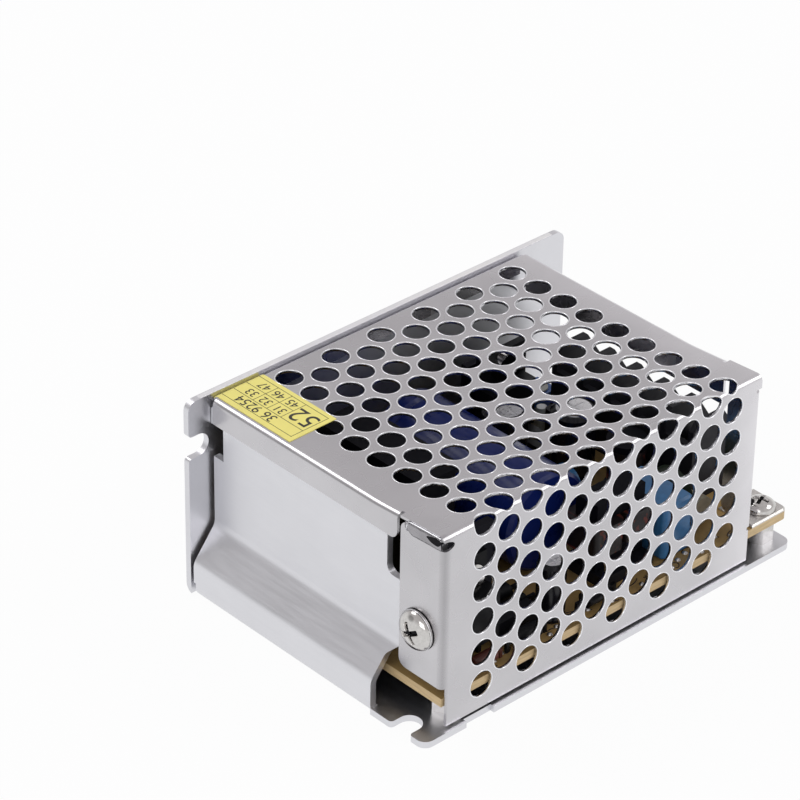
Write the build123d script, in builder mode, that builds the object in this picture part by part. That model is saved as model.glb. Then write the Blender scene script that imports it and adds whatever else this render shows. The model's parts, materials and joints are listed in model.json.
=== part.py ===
from build123d import *
import os
from math import sqrt

# An enclosed switching supply, in millimetres. The origin is under the middle of the base.
# X runs toward the terminals, Y toward the back plate and Z up.

# Case
length = 85.0
width = 58.0
height = 38.0
sheet = 1.2  # aluminium of the chassis
fold_inside = 0.6
fold_outside = fold_inside + sheet
corner_round = 1.8
half_length = length / 2
half_width = width / 2

# Cover
cover_sheet = 0.5
cover_gap = 0.1
cover_fold = 0.7  # inside radius of its folds
cover_rise = 1.0  # the front fold stands this far above the flat top
cover_slope = cover_rise / 14.8
base_lip = 0.8  # the base shows this far in front of the cover
foot_gap = 0.5
terminal_bay = 9.8  # the open end of the chassis past the cover

# End wall
joggle_depth = 4.7
joggle_start = 6.5
joggle_end = 12.5
joggle_round = 2.6

cover_top = height - cover_rise
cover_front = base_lip - half_width
cover_back = half_width - sheet - cover_gap
cover_foot = sheet + foot_gap
end_wall_face = joggle_depth - half_length
cover_end = end_wall_face - cover_gap - cover_sheet
cover_mouth = half_length - terminal_bay
fold_depth = cover_sheet + cover_fold
crest = height + fold_depth * (cover_slope + sqrt(1 + cover_slope**2) - 1)  # where the rise meets the front
rise_end = cover_front + (crest - cover_top) / cover_slope
end_wall_top = cover_top - cover_sheet - 3 * cover_gap  # clear of the cover's inner fold
back_top = cover_top + 0.3

# Slots that take the screws of whoever mounts the supply
slot_width = 4.2
slot_depth = 4.2
slot_mouth_round = 0.7
base_slot_in = 5.7  # from the base's long edges
back_slot_high = back_top - 8.7
back_slot_low = 9.4

# Vents
vent_diameter = 4.8
vent_sides = 14  # many small holes, so each is punched as a polygon to keep the sheet light
vent_pitch = 6.15
vent_step = 5.05
vent_first_x = cover_end + 8.74
vent_first_y = cover_back - 4.24
vent_front_first = cover_top - 2.94
vent_columns = 1 + int((cover_mouth - vent_first_x - vent_diameter) / vent_step)
vent_top_rows = 1 + int((vent_first_y - cover_front - vent_diameter / 2) / vent_pitch)
vent_front_rows = 1 + int((vent_front_first - cover_foot - vent_diameter - vent_pitch / 3) / vent_pitch)
fold_vent_drop = 3.05  # how far the vents on the fold reach down the front
fold_vent_shift = (2 * fold_vent_drop - vent_diameter) / 2 / sqrt(2)

# Board
board_sheet = 1.6
standoff_height = 4.0
board_front = cover_front + cover_sheet + 0.3
board_back = half_width - sheet - 1.0
board_end = -half_length + 4.9
board_foot = sheet + standoff_height
board_top = board_foot + board_sheet
board_notch_x = 7.0
board_notch_y = 8.6
screw_radius = 1.5
running_gap = 0.05

# Terminals
terminal_count = 5
terminal_pitch = 6.5
terminal_middle = 1.5
barrier = 1.2
block_depth = 11.0
block_front = half_length - 0.3
block_back = block_front - block_depth
block_top = 22.5
block_floor = 13.6
block_rear_wall = 18.0
plate_sheet = 0.8
washer_sheet = 0.9
clamp_gap = 0.05
terminal_screw_x = block_front - 5.3
terminal_ys = [terminal_middle + (i - (terminal_count - 1) / 2) * terminal_pitch for i in range(terminal_count)]
board_screw_places = [
    (half_length - 3.5, board_front + 3.0),
    (board_end + 4.4, board_front + 4.0),
    (board_end + 4.0, board_back - 4.2),
    (block_back - 20.4, board_back - 3.4),
]

os.makedirs("parts", exist_ok=True)


def save(piece, name):
    piece.part.label = name
    export_step(piece.part, f"parts/{name}.step")


def near(shapes, *points, reach=0.05):
    """The vertices that lie at the given points."""
    return shapes.filter_by(lambda v: any((Vector(v) - Vector(*p)).length < reach for p in points))


def cut_edge_slot(edge, across):
    """A slot open at a plate's edge, with a round end, for the sketch that it is called in."""
    inward = -1 if edge > 0 else 1
    middle = edge + inward * (slot_depth - slot_width / 2)
    with Locations((middle, across)):
        Circle(slot_width / 2, mode=Mode.SUBTRACT)
    with Locations(((edge - inward + middle) / 2, across)):
        Rectangle(abs(middle - edge) + 1, slot_width, mode=Mode.SUBTRACT)


# Chassis
wall_back = half_width - fold_outside - 0.1
wall_front = cover_front + cover_sheet + 0.7
wall_ear = half_width - sheet - cover_gap
low_wall_front = cover_front + 11.9
notch_front = cover_front + 7.2
notch_back = notch_front + 6.3
notch_floor = end_wall_top - 11.5
head_clearance = 2.4
ear_corner = 1.5  # cut off the top of the end wall's ear, inside the cover's back fold
cover_screw_y = cover_front + 5.5
cover_screw_z = 18.3
base_slot_front = -(half_width - base_slot_in)
base_slot_back = half_width - base_slot_in
slot_ys = (-half_length, base_slot_front), (half_length, base_slot_back)
slot_zs = (-half_length, back_slot_high), (half_length, back_slot_low)

with BuildPart() as chassis:
    # end wall, folded up from the base and joggled inward
    with BuildSketch(Plane.XZ.offset(-wall_ear)) as wall_section:
        with BuildLine():
            FilletPolyline(
                (-half_length + 8, 0),
                (-half_length, 0),
                (-half_length, joggle_start),
                (end_wall_face, joggle_end),
                (end_wall_face, end_wall_top),
                radius=[fold_outside, joggle_round, joggle_round],
            )
            offset(amount=sheet, side=Side.RIGHT)
        make_face()
    extrude(amount=wall_ear - wall_front)
    # the cut-outs of the end wall: its low front, the top notch and the room for a screw head
    with BuildSketch(Plane.YZ.offset(-half_length - 1)) as wall_cuts:
        with BuildLine():
            FilletPolyline(
                (-half_width, -1),
                (low_wall_front, -1),
                (low_wall_front, joggle_end - 2),
                (low_wall_front - 2.4, joggle_end + 0.4),
                (-half_width, joggle_end + 0.4),
                radius=[0, 1.5, 1.0, 0, 0],
                close=True,
            )
        make_face()
        with Locations(((notch_front + notch_back) / 2, (notch_floor + height) / 2)):
            Rectangle(notch_back - notch_front, height - notch_floor)
        fillet(near(wall_cuts.vertices(), (notch_front, notch_floor), (notch_back, notch_floor)), 1.5)
        with Locations((half_width - sheet, (back_slot_high + slot_width / 2 - 1) / 2)):
            Rectangle(2 * (half_width - sheet - wall_back), back_slot_high + slot_width / 2 + 3)
        with Locations((half_width - sheet, back_slot_high + 0.15)):
            Rectangle(2 * (half_width - sheet - wall_back + head_clearance), 6.1)
        with Locations((wall_ear, end_wall_top)):
            Rectangle(ear_corner * sqrt(2), ear_corner * sqrt(2), rotation=45)
    extrude(amount=joggle_depth + sheet + 1.5, mode=Mode.SUBTRACT)
    # base
    with BuildSketch() as base_outline:
        with Locations((0, -fold_outside / 2)):
            Rectangle(length, width - fold_outside)
        with Locations((-half_length, (low_wall_front + half_width) / 2)):
            Rectangle(2 * fold_outside, half_width - low_wall_front, mode=Mode.SUBTRACT)
        fillet(near(base_outline.vertices(), (-half_length, -half_width), (half_length, -half_width)), corner_round)
        for edge, across in slot_ys:
            cut_edge_slot(edge, across)
        mouths = [(edge, across + side * slot_width / 2) for edge, across in slot_ys for side in (-1, 1)]
        fillet(near(base_outline.vertices(), *mouths), slot_mouth_round)
        with Locations((-half_length + 12.1, -half_width)):
            Rectangle(6.0, 1.6, mode=Mode.SUBTRACT)
    extrude(amount=sheet)
    # back plate and its fold
    with BuildSketch(Plane.YZ.offset(-half_length)) as back_section:
        with BuildLine():
            FilletPolyline(
                (half_width - fold_outside - 0.5, 0),
                (half_width, 0),
                (half_width, back_slot_low - 3),
                radius=fold_outside,
            )
            offset(amount=sheet, side=Side.LEFT)
        make_face()
    extrude(amount=length)
    with BuildSketch(Plane.XZ.offset(-half_width)) as back_outline:
        with Locations((0, (back_top + fold_outside) / 2)):
            Rectangle(length, back_top - fold_outside)
        fillet(near(back_outline.vertices(), (-half_length, back_top), (half_length, back_top)), corner_round)
        for edge, across in slot_zs:
            cut_edge_slot(edge, across)
        mouths = [(edge, across + side * slot_width / 2) for edge, across in slot_zs for side in (-1, 1)]
        fillet(near(back_outline.vertices(), *mouths), slot_mouth_round)
    extrude(amount=sheet)
    # relief between the two folds, and the tapped hole of the cover's screw
    with Locations((-half_length, wall_back + 0.1, fold_outside / 2)):
        Box(2 * fold_outside, 1.2, 2 * fold_outside, mode=Mode.SUBTRACT)
    with BuildSketch(Plane.YZ.offset(end_wall_face - 1)):
        with Locations((cover_screw_y, cover_screw_z)):
            Circle(screw_radius + running_gap)
    extrude(amount=sheet + 2, mode=Mode.SUBTRACT)
save(chassis, "chassis")

# Cover
end_flange_drop = 4.6
end_flange_front = cover_front + 10.7
side_flange_back = end_flange_front - 0.8
side_flange_foot = 9.2
side_flange_top = cover_top - 0.35  # at its free edge; it rises to the front with the top sheet
mouth_flange_drop = 8.2
mouth_flange_front = cover_front + 7.9
mouth_side_flange_back = mouth_flange_front - 1.2
mouth_side_flange_foot = 8.5
mouth_side_flange_top = cover_top - 2.0
back_flange_foot = cover_top - 4.0
flange_round = 1.6
flange_slit = 0.6  # between a flange and the plain edge beside it
corner_relief = (1.5, 0.9)  # half sizes of the hole where three folds would meet


def cover_section(inset, plane):
    """The cover's outline across its length, or with an inset the space inside its sheet."""
    floor = cover_foot - 2 * inset
    fold = fold_depth - inset
    with BuildSketch(plane) as section:
        with BuildLine():
            FilletPolyline(
                (cover_front + inset, floor),
                (cover_front + inset, crest - inset),
                (rise_end, cover_top - inset),
                (cover_back - inset, cover_top - inset),
                (cover_back - inset, floor),
                radius=[0, fold, 50, fold, 0],
                close=True,
            )
        make_face()
    return section.sketch


def cover_block(inset):
    with BuildPart() as block:
        extrude(cover_section(inset, Plane.YZ.offset(cover_end + inset)), cover_mouth - cover_end - 2 * inset)
        rims = block.faces().filter_by(Axis.X).edges()
        fillet(rims.filter_by(lambda e: e.center().Z > cover_foot + 1), fold_depth - inset - 0.2)
    return block.part


def edge_strip(start, end, back, foot, top):
    """Plain sheet without a flange, at the front corner of one end."""
    with BuildPart() as strip:
        for inset, mode in (0, Mode.ADD), (cover_sheet, Mode.SUBTRACT):
            extrude(cover_section(inset, Plane.YZ.offset(start)), end - start, mode=mode)
        with Locations(((start + end) / 2, (cover_front + back) / 2, (foot + top) / 2)):
            Box(end - start, back - cover_front, top - foot, mode=Mode.INTERSECT)
    return strip.part


with BuildPart() as cover:
    add(cover_block(0))
    add(cover_block(cover_sheet), mode=Mode.SUBTRACT)
    # the closed end keeps a flange under the top and one beside the front panel
    with BuildSketch(Plane.YZ.offset(cover_end - 1)) as end_opening:
        with Locations((0, height / 2)):
            Rectangle(width, height + 2)
        with Locations(((end_flange_front + cover_back - fold_depth) / 2, cover_top - end_flange_drop + height / 2)):
            Rectangle(cover_back - fold_depth - end_flange_front, height, mode=Mode.SUBTRACT)
        with BuildLine():
            Polyline(
                (side_flange_back, side_flange_foot),
                (side_flange_back, side_flange_top),
                (-width, side_flange_top + (width + side_flange_back) * cover_slope),
                (-width, side_flange_foot),
                close=True,
            )
        make_face(mode=Mode.SUBTRACT)
        corners = [
            (end_flange_front, cover_top - end_flange_drop),
            (side_flange_back, side_flange_foot),
            (side_flange_back, side_flange_top),
        ]
        fillet(near(end_opening.vertices(), *corners), flange_round)
    extrude(amount=1 + fold_depth, mode=Mode.SUBTRACT)
    # the mouth keeps a deeper flange under the top and a narrow one beside the front panel
    with BuildSketch(Plane.YZ.offset(cover_mouth - fold_depth)) as mouth_opening:
        with Locations((0, height / 2)):
            Rectangle(width, height + 2)
        with Locations(((mouth_flange_front + cover_back - fold_depth) / 2, cover_top - mouth_flange_drop + height / 2)):
            Rectangle(cover_back - fold_depth - mouth_flange_front, height, mode=Mode.SUBTRACT)
        with Locations((mouth_side_flange_back - width / 2, (mouth_side_flange_foot + mouth_side_flange_top) / 2)):
            Rectangle(width, mouth_side_flange_top - mouth_side_flange_foot, mode=Mode.SUBTRACT)
        fillet(near(mouth_opening.vertices(), (mouth_side_flange_back, mouth_side_flange_foot)), flange_round)
    extrude(amount=1 + fold_depth, mode=Mode.SUBTRACT)
    # a short flange goes down inside the back plate
    with Locations(((cover_end + cover_mouth) / 2, cover_back, back_flange_foot / 2)):
        Box(length, 2 * fold_depth, back_flange_foot, mode=Mode.SUBTRACT)
    with Locations((cover_end, cover_back, (cover_top - fold_depth) / 2)):
        Box(2 * (joggle_depth - sheet), 2 * fold_depth, cover_top - fold_depth, mode=Mode.SUBTRACT)
    # plain edges at the front corners
    for start, end, back, foot, top in (
        (cover_end + cover_gap, cover_end + fold_depth, end_flange_front, cover_top - 0.3, height),
        (cover_mouth - fold_depth, cover_mouth, mouth_flange_front, mouth_side_flange_top + flange_slit, height),
        (cover_mouth - fold_depth, cover_mouth - 0.8, mouth_flange_front, 0, mouth_side_flange_foot - flange_slit),
    ):
        add(edge_strip(start, end, back - flange_slit, foot, top))
    # hole at the corner where the end's folds meet
    with BuildSketch(Plane((cover_end, cover_front, cover_top - 0.7), x_dir=(1, -1, 0), z_dir=(1, 1, 0))):
        Ellipse(*corner_relief)
    extrude(amount=2 * fold_depth, mode=Mode.SUBTRACT)
    # vents: whole rows on the top and the front, and every other column has one on the fold
    columns = [(vent_first_x + i * vent_step, i % 2 == 0) for i in range(vent_columns)]
    top_vents = [
        (x, vent_first_y - (row + staggered / 2) * vent_pitch)
        for x, staggered in columns
        for row in range(vent_top_rows - staggered)
    ]
    front_vents = [
        (x, vent_front_first - (row + staggered / 2) * vent_pitch)
        for x, staggered in columns
        for row in range(vent_front_rows)
    ]
    with BuildSketch(Plane.XY.offset(height + 1)):
        with Locations(*top_vents):
            RegularPolygon(vent_diameter / 2, vent_sides)
    extrude(amount=-5, mode=Mode.SUBTRACT)
    with BuildSketch(Plane.XZ.offset(-cover_front + 1)):
        with Locations(*front_vents):
            RegularPolygon(vent_diameter / 2, vent_sides)
    extrude(amount=-3, mode=Mode.SUBTRACT)
    with BuildSketch() as fold_vent:
        RegularPolygon(vent_diameter / 2, vent_sides)
        scale(by=(1, 1 / sqrt(2), 1))
    with BuildSketch(Plane(origin=(0, cover_front, height), x_dir=(1, 0, 0), z_dir=(0, 1, -1))):
        with Locations(*[(x, fold_vent_shift) for x, staggered in columns if staggered]):
            add(fold_vent.sketch)
    extrude(amount=3.5, mode=Mode.SUBTRACT)
    # clearance hole of the cover's screw
    with BuildSketch(Plane.YZ.offset(cover_end - 1)):
        with Locations((cover_screw_y, cover_screw_z)):
            Circle(screw_radius + 0.2)
    extrude(amount=2, mode=Mode.SUBTRACT)
save(cover, "cover")


def pan_screw(head_radius, head_height, shank_length):
    """A cross-recessed pan head screw along Z, its head seated at zero."""
    recess_length, recess_width = 1.1 * head_radius, 0.24 * head_radius
    with BuildPart() as screw:
        with BuildSketch(Plane.XZ):
            with BuildLine():
                Polyline(
                    (0, -shank_length),
                    (screw_radius, -shank_length),
                    (screw_radius, 0),
                    (head_radius, 0),
                    (0.7 * head_radius, head_height),
                    (0, head_height),
                    close=True,
                )
            make_face()
        revolve()
        with Locations((0, 0, head_height)):
            Box(recess_length, recess_width, head_height, mode=Mode.SUBTRACT)
            Box(recess_width, recess_length, head_height, mode=Mode.SUBTRACT)
    return screw.part


# Cover screw, driven through the side flange into the end wall: a domed head with a cross recess
dome_radius = 3.6
dome_height = 2.3
dome_rim = 0.4
cover_screw_length = 5.0
recess_length, recess_width = 4.2, 0.8
with BuildPart() as cover_screw:
    with BuildSketch(Plane.XZ):
        with BuildLine():
            Polyline(
                (0, dome_height),
                (0, -cover_screw_length),
                (screw_radius, -cover_screw_length),
                (screw_radius, 0),
                (dome_radius, 0),
                (dome_radius, dome_rim),
                (0.86 * dome_radius, 0.58 * dome_height),
                (0.5 * dome_radius, 0.92 * dome_height),
                (0, dome_height),
            )
        make_face()
    revolve()
    with Locations((0, 0, dome_height)):
        Box(recess_length, recess_width, dome_height, mode=Mode.SUBTRACT)
        Box(recess_width, recess_length, dome_height, mode=Mode.SUBTRACT)
cover_screw.part.locate(Location((cover_end, cover_screw_y, cover_screw_z), (0, -90, 0)))
save(cover_screw, "cover_screw")

# Inspection label, wrapped over the cover's back fold
label_sheet = 0.12
label_front = cover_back - 18.6
label_end = cover_end + fold_depth
label_width = 10.0
with BuildPart() as inspection_label:
    with BuildSketch(Plane.YZ.offset(label_end)):
        with BuildLine():
            middle = (cover_back - fold_depth, cover_top - fold_depth)
            Line((label_front, cover_top), (middle[0], cover_top))
            CenterArc(middle, fold_depth, 90, -62)
            offset(amount=label_sheet, side=Side.LEFT)
        make_face()
    extrude(amount=label_width)
save(inspection_label, "inspection_label")

# Circuit board
with BuildPart() as circuit_board:
    with BuildSketch(Plane.XY.offset(board_foot)) as board_outline:
        with Locations(((board_end + half_length) / 2, (board_front + board_back) / 2)):
            Rectangle(half_length - board_end, board_back - board_front)
        fillet(near(board_outline.vertices(), (half_length, board_front)), 1.0)
        with Locations((half_length - board_notch_x / 2, board_back - board_notch_y / 2)):
            Rectangle(board_notch_x, board_notch_y, mode=Mode.SUBTRACT)
        with Locations(*board_screw_places):
            Circle(screw_radius + 0.15, mode=Mode.SUBTRACT)
    extrude(amount=board_sheet)
save(circuit_board, "circuit_board")

# Solder-coated pad that earths the board through its corner screw
pad_sheet = 0.5
pad_end = half_length - 8.7
pad_back = board_front + 7.8
with BuildPart() as ground_pad:
    with BuildSketch(Plane.XY.offset(board_top)) as pad_outline:
        with Locations(((pad_end + half_length) / 2, (board_front + pad_back) / 2)):
            Rectangle(half_length - pad_end, pad_back - board_front)
        fillet(near(pad_outline.vertices(), (half_length, board_front)), 1.0)
        with Locations(board_screw_places[0]):
            Circle(screw_radius + 0.15, mode=Mode.SUBTRACT)
    extrude(amount=pad_sheet)
    chamfer(ground_pad.faces().sort_by(Axis.Z)[-1].outer_wire().edges(), 0.25)
save(ground_pad, "ground_pad")

# Hexagonal standoffs riveted to the base, and the screws that hold the board to them
standoff_flats = 4.4
board_screw_length = 5.0
with BuildPart() as standoffs:
    with BuildSketch(Plane.XY.offset(sheet)):
        with Locations(*board_screw_places):
            RegularPolygon(standoff_flats / 2, 6, major_radius=False)
            Circle(screw_radius + running_gap, mode=Mode.SUBTRACT)
    extrude(amount=standoff_height)
save(standoffs, "standoffs")

board_screw = pan_screw(2.7, 1.9, board_screw_length)
with BuildPart() as board_screws:
    with Locations((*board_screw_places[0], board_top + pad_sheet)):
        add(board_screw)
    with Locations(*[(x, y, board_top) for x, y in board_screw_places[1:]]):
        add(board_screw)
save(board_screws, "board_screws")

# Terminal block: a floor with a rear wall, barriers between the terminals and a well under each screw
block_width = terminal_count * terminal_pitch + barrier
cell_width = terminal_pitch - barrier
block_skin = 1.0  # left under each well
well_side = 2 * screw_radius + 0.7
with BuildPart() as terminal_block:
    with BuildSketch(Plane.XZ.offset(-terminal_middle)) as barrier_outline:
        with BuildLine():
            Polyline(
                (block_back, board_top),
                (block_back, block_top - 1.5),
                (block_back + 1.5, block_top),
                (block_front - 3.6, block_top),
                (block_front, block_floor + 3.4),
                (block_front, board_top),
                close=True,
            )
        make_face()
    extrude(amount=block_width / 2, both=True)
    for x, y in [(block_back, y) for y in terminal_ys]:
        with Locations((x + barrier, y, block_floor)):
            Box(block_depth, cell_width, block_top, align=(Align.MIN, Align.CENTER, Align.MIN), mode=Mode.SUBTRACT)
        with Locations((x, y, block_rear_wall)):
            Box(4 * barrier, cell_width, block_top, align=(Align.CENTER, Align.CENTER, Align.MIN), mode=Mode.SUBTRACT)
        with Locations((terminal_screw_x, y, board_top + block_skin)):
            Box(well_side, well_side, block_top, align=(Align.CENTER, Align.CENTER, Align.MIN), mode=Mode.SUBTRACT)
save(terminal_block, "terminal_block")

# Each terminal has a tapped plate, a clamp washer and a screw that lifts the washer as it turns
plate_back = block_back + barrier + 0.3
plate_front = block_front - 0.9
washer_foot = block_floor + plate_sheet + clamp_gap
screw_seat = washer_foot + washer_sheet + clamp_gap
terminal_screw_length = screw_seat - board_top - block_skin - 1.6
washer_length = 5.6
terminal_screw_form = pan_screw(2.45, 1.9, terminal_screw_length)
for number, y in enumerate(terminal_ys, start=1):
    with BuildPart() as terminal_plate:
        with BuildSketch(Plane.XY.offset(block_floor)):
            with Locations(((plate_back + plate_front) / 2, y)):
                Rectangle(plate_front - plate_back, cell_width - 0.3)
            with Locations((terminal_screw_x, y)):
                Circle(screw_radius + running_gap, mode=Mode.SUBTRACT)
        extrude(amount=plate_sheet)
    save(terminal_plate, f"terminal_plate_{number}")
    with BuildPart() as terminal_washer:
        with BuildSketch(Plane.XY.offset(washer_foot)):
            with Locations((terminal_screw_x, y)):
                Rectangle(washer_length, cell_width - 0.8)
                Circle(screw_radius + running_gap, mode=Mode.SUBTRACT)
        extrude(amount=washer_sheet)
    save(terminal_washer, f"terminal_washer_{number}")
    with BuildPart() as terminal_screw:
        with Locations((terminal_screw_x, y, screw_seat)):
            add(terminal_screw_form)
    save(terminal_screw, f"terminal_screw_{number}")

# Parts on the board. Each stands off from the edge or the block that is nearest to it
left, right = board_end, block_back
front, back = board_front, board_back
lead = 0.7  # square section of the thicker leads
seat = 0.05  # a body that lies on the board clears it by this


def legs(places, top, side=lead):
    """Leads that stand on the board, for the part that it is called in."""
    with Locations(*[(x, y, board_top) for x, y in places]):
        Box(side, side, top - board_top, align=(Align.CENTER, Align.CENTER, Align.MIN))


# Bulk capacitor, lying along Y with its leads bent down at the back
bulk_radius = 9.0
bulk_length = 34.0
bulk_leads = 7.5
bulk_x = (left + right) / 2 + 3.1
bulk_front = front + 14.9
bulk_back = bulk_front + bulk_length
bulk_z = board_top + seat + bulk_radius
groove = 0.6
with BuildPart() as bulk_capacitor:
    with BuildSketch(Plane.XY.offset(bulk_z)):
        with BuildLine():
            rim = bulk_x + bulk_radius
            Polyline(
                (bulk_x, bulk_front),
                (rim - groove, bulk_front),
                (rim, bulk_front + groove),
                (rim, bulk_back - 6 * groove),
                (rim - groove, bulk_back - 5 * groove),
                (rim, bulk_back - 4 * groove),
                (rim, bulk_back),
                (bulk_x, bulk_back),
                close=True,
            )
        make_face()
    revolve(axis=Axis((bulk_x, 0, bulk_z), (0, 1, 0)))
    for x in (bulk_x - bulk_leads / 2, bulk_x + bulk_leads / 2):
        with Locations((x, bulk_back + lead, bulk_z)):
            Box(lead, 2 * lead, lead)
        legs([(x, bulk_back + 1.5 * lead)], bulk_z + lead / 2)
save(bulk_capacitor, "bulk_capacitor")


def standing_capacitor(place, radius, top):
    """An electrolytic capacitor in a sleeve, with its groove near the board."""
    with BuildPart() as capacitor:
        with BuildSketch(Plane.XZ):
            with BuildLine():
                Polyline(
                    (0, board_top + seat),
                    (radius, board_top + seat),
                    (radius, board_top + groove),
                    (radius - groove / 2, board_top + 2 * groove),
                    (radius, board_top + 3 * groove),
                    (radius, top - groove),
                    (radius - groove, top),
                    (0, top),
                    close=True,
                )
            make_face()
        revolve()
    capacitor.part.position = (*place, 0)
    return capacitor


for name, place, radius, top in (
    ("output_capacitor_rear", (right - 17.0, back - 14.4), 4.0, 20.0),
    ("output_capacitor_front", (right - 8.2, back - 22.0), 4.0, 20.0),
    ("controller_capacitor", (left + 28.6, front + 4.8), 2.5, 17.8),
):
    save(standing_capacitor(place, radius, top), name)

# Line filter capacitor, a moulded box on its leads
filter_size = (6.8, 12.0, 10.2)
filter_leads = 10.0
filter_place = (right - 12.3, front + 9.2)
with BuildPart() as line_filter_capacitor:
    with BuildSketch(Plane.XY.offset(board_top + 0.4)):
        with Locations(filter_place):
            RectangleRounded(filter_size[0], filter_size[1], 0.8)
    extrude(amount=filter_size[2])
    chamfer(line_filter_capacitor.faces().sort_by(Axis.Z)[-1].edges(), 0.4)
    legs([(filter_place[0], filter_place[1] + side * filter_leads / 2) for side in (-1, 1)], board_top + 1)
save(line_filter_capacitor, "line_filter_capacitor")

# Line filter choke: two ferrite U cores round a bobbin with two windings
choke_x, choke_y = right - 23.0, front + 8.8
choke_top = 22.0
choke_leg = 3.6
choke_depth = 5.0
choke_span = 11.0
choke_foot = board_top + 2.2
with BuildPart() as choke_base:
    with Locations((choke_x, choke_y, board_top)):
        Box(choke_span + 0.6, 9.6, 2.1, align=(Align.CENTER, Align.CENTER, Align.MIN))
save(choke_base, "choke_base")
with BuildPart() as choke_core:
    with BuildSketch(Plane.XZ.offset(-choke_y)):
        with Locations((choke_x, (choke_foot + choke_top) / 2)):
            Rectangle(choke_span, choke_top - choke_foot)
            Rectangle(choke_span - 2 * choke_leg, choke_top - choke_foot - 2 * choke_leg, mode=Mode.SUBTRACT)
    extrude(amount=choke_depth / 2, both=True)
save(choke_core, "choke_core")
with BuildPart() as choke_windings:
    for side in (-1, 1):
        with BuildSketch(Plane.XY.offset(choke_foot + choke_leg + 0.1)):
            with Locations((choke_x + side * (choke_span - choke_leg) / 2, choke_y)):
                RectangleRounded(choke_leg + 3.2, choke_depth + 3.6, 1.6)
                Rectangle(choke_leg + 0.1, choke_depth + 0.1, mode=Mode.SUBTRACT)
        extrude(amount=choke_top - choke_foot - 2 * choke_leg - 0.2)
save(choke_windings, "choke_windings")

# Transformer: a bobbin on the board, two E cores closed round it and a taped winding
trafo_x, trafo_y = left + 17.0, back - 22.2
core_depth = 7.4
core_span = 25.0
core_leg = 3.4
core_foot = board_top + 3.0
core_top = cover_top - 5.5
window = (core_span - 4 * core_leg) / 2
core_gap = 0.05  # between the core and the bobbin all round
flange_sheet = 0.85
winding_gap = 0.1
winding_foot = core_foot + core_leg + core_gap + flange_sheet + winding_gap
winding_top = core_top - core_leg - core_gap - flange_sheet - winding_gap
core_split = (core_foot + core_top) / 2
tube_x = core_depth + 1.6
tube_y = 2 * core_leg + 1.4
flange_x = 18.0
flange_y = 2 * (core_leg + window) - 0.3
bobbin_base = (20.0, 24.0)
with BuildPart() as transformer_bobbin:
    for foot, top, size_x, size_y in (
        (board_top, core_foot - core_gap, *bobbin_base),
        (board_top, winding_top + winding_gap + flange_sheet, tube_x, tube_y),
        (winding_foot - winding_gap - flange_sheet, winding_foot - winding_gap, flange_x, flange_y),
        (winding_top + winding_gap, winding_top + winding_gap + flange_sheet, flange_x, flange_y),
    ):
        with Locations((trafo_x, trafo_y, foot)):
            Box(size_x, size_y, top - foot, align=(Align.CENTER, Align.CENTER, Align.MIN))
    with Locations((trafo_x, trafo_y, core_foot - core_gap)):
        Box(
            core_depth + 2 * core_gap,
            2 * (core_leg + core_gap),
            core_top,
            align=(Align.CENTER, Align.CENTER, Align.MIN),
            mode=Mode.SUBTRACT,
        )
        Box(
            core_depth + 2 * core_gap,
            core_span,
            core_leg + 2 * core_gap,
            align=(Align.CENTER, Align.CENTER, Align.MIN),
            mode=Mode.SUBTRACT,
        )
save(transformer_bobbin, "transformer_bobbin")
for name, low, high, yoke in (
    ("transformer_core_lower", core_foot, core_split, core_foot),
    ("transformer_core_upper", core_split, core_top, core_top - core_leg),
):
    with BuildPart() as transformer_core:
        with BuildSketch(Plane.YZ.offset(trafo_x)):
            with Locations((trafo_y, yoke + core_leg / 2)):
                Rectangle(core_span, core_leg)
            for y, leg in (-1, core_leg), (0, 2 * core_leg), (1, core_leg):
                with Locations((trafo_y + y * (core_span - core_leg) / 2, (low + high) / 2)):
                    Rectangle(leg, high - low)
        extrude(amount=core_depth / 2, both=True)
    save(transformer_core, name)
with BuildPart() as transformer_winding:
    with BuildSketch(Plane.XY.offset(winding_foot)):
        with Locations((trafo_x, trafo_y)):
            RectangleRounded(flange_x - 1.0, flange_y - 0.3, 2.0)
            Rectangle(tube_x + 2 * winding_gap, tube_y + 2 * winding_gap, mode=Mode.SUBTRACT)
    extrude(amount=winding_top - winding_foot)
save(transformer_winding, "transformer_winding")


pin_pitch = 2.54
package_width, package_depth, package_height = 10.0, 4.5, 9.2
tab_sheet = 1.3
tab_height = 6.0
package_screw_height = package_height + tab_height / 2 + 0.2
heatsink_sheet = 1.5


def power_package(place, facing, foot):
    """A three-legged power package standing with its metal tab flat on a heatsink."""
    x, y = place
    with BuildPart() as package:
        with Locations((x, y + facing * package_depth / 2, foot + package_height / 2)):
            Box(package_width, package_depth, package_height)
        with Locations((x, y + facing * tab_sheet / 2, foot + package_height + tab_height / 2)):
            Box(package_width, tab_sheet, tab_height)
        with Locations((x, y, foot + package_screw_height)):
            Cylinder(screw_radius + 0.3, 2 * package_depth, rotation=(90, 0, 0), mode=Mode.SUBTRACT)
        legs([(x + i * pin_pitch, y + facing * (package_depth / 2 + 0.15)) for i in (-1, 0, 1)], foot + 0.1)
    return package


def cooler(place, size, facing, foot, hole):
    """A sheet heatsink with a foot flange, drilled for the package's screw."""
    x, y = place
    with BuildPart() as heatsink:
        with BuildSketch(Plane.YZ.offset(x - size[0] / 2)):
            with BuildLine():
                FilletPolyline(
                    (y, foot + size[1]),
                    (y, foot),
                    (y - facing * size[2], foot),
                    radius=1.8,
                )
                offset(amount=heatsink_sheet, side=Side.RIGHT if facing > 0 else Side.LEFT)
            make_face()
        extrude(amount=size[0])
        with Locations((hole[0], y, hole[1])):
            Cylinder(screw_radius + running_gap, 4 * heatsink_sheet, rotation=(90, 0, 0), mode=Mode.SUBTRACT)
    return heatsink


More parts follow.
